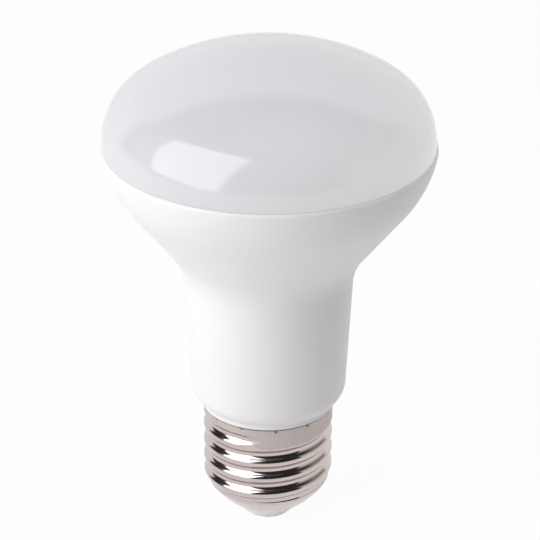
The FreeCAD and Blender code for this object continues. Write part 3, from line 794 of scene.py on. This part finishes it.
def studio_world(world):
    """White sweep behind the lamp, a panel and a grey wall at its right, and a dim room.

    Where two colours are mixed by mirrored, diffuse rays see the first one and glossy rays the
    second. The camera sees white alone.
    """
    graph = Graph(world)
    coordinates = graph.node("ShaderNodeTexCoord")
    x, y, z = graph.split(graph.wire(coordinates, "Generated"))
    sweep = graph.step(y, 0.46, 0.54)
    rays = graph.node("ShaderNodeLightPath")
    mirrored = graph.wire(rays, "Is Glossy Ray")
    right = graph.step(0.839 * y + 0.545 * x, -0.015, 0.015) * graph.step(x, 0.1, 0.3)
    side = right * (1 - graph.step(z, 0.38, 0.42))
    wall = right * (1 - graph.step(z, 0.70, 0.76)) * mirrored
    black = (0.03, 0.03, 0.032, 1)
    dim = graph.mix(mirrored, (0.18, 0.178, 0.178, 1), black)
    above = graph.mix(graph.step(z, 0.94, 0.98), black, (0.25, 0.25, 0.255, 1))
    ceiling = graph.mix(mirrored, (0.16, 0.16, 0.165, 1), above)
    room = graph.mix(graph.step(z, 0.3, 0.8), dim, ceiling)
    panel = graph.mix(mirrored, (0.15, 0.145, 0.14, 1), (0.80, 0.765, 0.75, 1))
    room = graph.mix(wall, room, (0.33, 0.31, 0.305, 1))
    room = graph.mix(side, room, panel)
    room = graph.mix(sweep, room, (1.0, 1.0, 1.02, 1))
    seen = graph.math("MAXIMUM", graph.wire(rays, "Is Camera Ray"),
                      graph.wire(rays, "Is Transmission Ray"))
    colour = graph.mix(seen, room, (1, 1, 1, 1))
    background = graph.node("ShaderNodeBackground", values={"Color": colour, "Strength": 1.0})
    graph.node("ShaderNodeOutputWorld", values={"Surface": graph.wire(background)})


def aimed(place, turn):
    """Placement of a lamp or camera from its place and a 4x4 turn."""
    return Matrix.Translation(place) @ turn


def soft_lamp(name, place, size, radiance):
    """Square lamp turned to the bulb, left out of the reflections."""
    lamp = bpy.data.lights.new(name, "AREA")
    lamp.shape = "SQUARE"
    lamp.size = size
    lamp.energy = radiance * math.pi * size ** 2
    made = bpy.data.objects.new(name, lamp)
    bpy.context.scene.collection.objects.link(made)
    made.visible_glossy = False
    turn = (Vector(place) - Vector((0, 0, 0.06))).to_track_quat("Z", "Y")
    made.matrix_world = aimed(place, turn.to_matrix().to_4x4())
    return made


class LAMP_OT_stage(bpy.types.Operator):
    """Floor, studio light and the photograph's camera"""

    bl_idname = "lamp.stage"
    bl_label = "Stage"

    def execute(self, context):
        scene = context.scene
        half = 4.0  # metres
        mesh = bpy.data.meshes.new("floor_form")
        mesh.from_pydata([(-half, -half, 0), (half, -half, 0), (half, half, 0), (-half, half, 0)],
                         [], [(0, 1, 2, 3)])
        floor = bpy.data.objects.new("floor", mesh)
        scene.collection.objects.link(floor)
        add_finish(floor, studio_floor(scene.lamp_colours))

        scene.world = bpy.data.worlds.new("studio")
        studio_world(scene.world)

        # The softbox is where the dome mirrors it: its axes come from that highlight's corners.
        across = Vector((0.74, -0.66, -0.09)).normalized()
        back = across.cross(Vector((0.33, 0.25, 0.91))).normalized()
        upward = back.cross(across)
        lamp = bpy.data.lights.new("softbox", "AREA")
        lamp.shape = "RECTANGLE"
        lamp.size = 0.64
        lamp.size_y = 0.67
        lamp.energy = 3.0 * math.pi * lamp.size * lamp.size_y
        lamp.color = (0.985, 0.99, 1.0)
        softbox = bpy.data.objects.new("softbox", lamp)
        scene.collection.objects.link(softbox)
        turn = Matrix((across, upward, back)).transposed().to_4x4()
        softbox.matrix_world = aimed((-0.458, -0.238, 0.396), turn)

        soft_lamp("overhead", (0.30, 0.03, 0.58), 0.45, 1.65)
        # Light spreads inside the opal, which this lamp stands in for: it reaches the dome alone.
        inner_light = soft_lamp("opal_spread", (0.43, -0.23, 0.10), 0.30, 4.1)
        domes = bpy.data.collections.new("opal_pieces")
        for piece in scene.objects:
            if piece.name.startswith("diffuser_piece"):
                domes.objects.link(piece)
        inner_light.light_linking.receiver_collection = domes

        view = bpy.data.cameras.new("photograph")
        view.sensor_width = 36.0
        view.lens = 167.7
        view.clip_start = 0.01
        camera = bpy.data.objects.new("photograph", view)
        scene.collection.objects.link(camera)
        elevation = math.radians(26.61)
        roll = math.radians(0.26)
        distance = 0.5
        aim = Vector((0.27, 0.0, 55.42)) * MM
        away = Vector((0.0, -math.cos(elevation), math.sin(elevation))) * distance
        turn = Matrix.Rotation(math.pi / 2 - elevation, 4, "X") @ Matrix.Rotation(roll, 4, "Z")
        camera.matrix_world = aimed(aim + away, turn)
        scene.camera = camera
        scene.view_settings.view_transform = "Standard"
        return {"FINISHED"}


class LAMP_PT_pieces(bpy.types.Panel):
    """Lists the lamp's pieces, sizes and colours"""

    bl_idname = "LAMP_PT_pieces"
    bl_label = "Reflector bulb"
    bl_space_type = "VIEW_3D"
    bl_region_type = "UI"
    bl_category = "Lamp"

    def draw(self, context):
        scene = context.scene
        for operator in OPERATORS:
            self.layout.operator(operator.bl_idname)
        for group in (scene.lamp_cap, scene.lamp_body, scene.lamp_colours):
            box = self.layout.box()
            for name in group.bl_rna.properties.keys():
                if name not in ("rna_type", "name"):
                    box.prop(group, name)


GROUPS = {"lamp_cap": CapSizes, "lamp_body": BodySizes, "lamp_colours": LampColours}
OPERATORS = (LAMP_OT_centre_contact, LAMP_OT_insulator, LAMP_OT_screw_shell, LAMP_OT_housing,
             LAMP_OT_diffuser, LAMP_OT_stage)


def register():
    for name, group in GROUPS.items():
        bpy.utils.register_class(group)
        setattr(bpy.types.Scene, name, PointerProperty(type=group))
    for operator in OPERATORS:
        bpy.utils.register_class(operator)
    bpy.utils.register_class(LAMP_PT_pieces)


def unregister():
    bpy.utils.unregister_class(LAMP_PT_pieces)
    for operator in reversed(OPERATORS):
        bpy.utils.unregister_class(operator)
    for name, group in GROUPS.items():
        delattr(bpy.types.Scene, name)
        bpy.utils.unregister_class(group)


def main():
    """Build every piece and the stage."""
    register()
    for operator in (bpy.ops.lamp.centre_contact, bpy.ops.lamp.insulator,
                     bpy.ops.lamp.screw_shell, bpy.ops.lamp.housing, bpy.ops.lamp.diffuser,
                     bpy.ops.lamp.stage):
        operator()


if __name__ == "__main__":
    main()
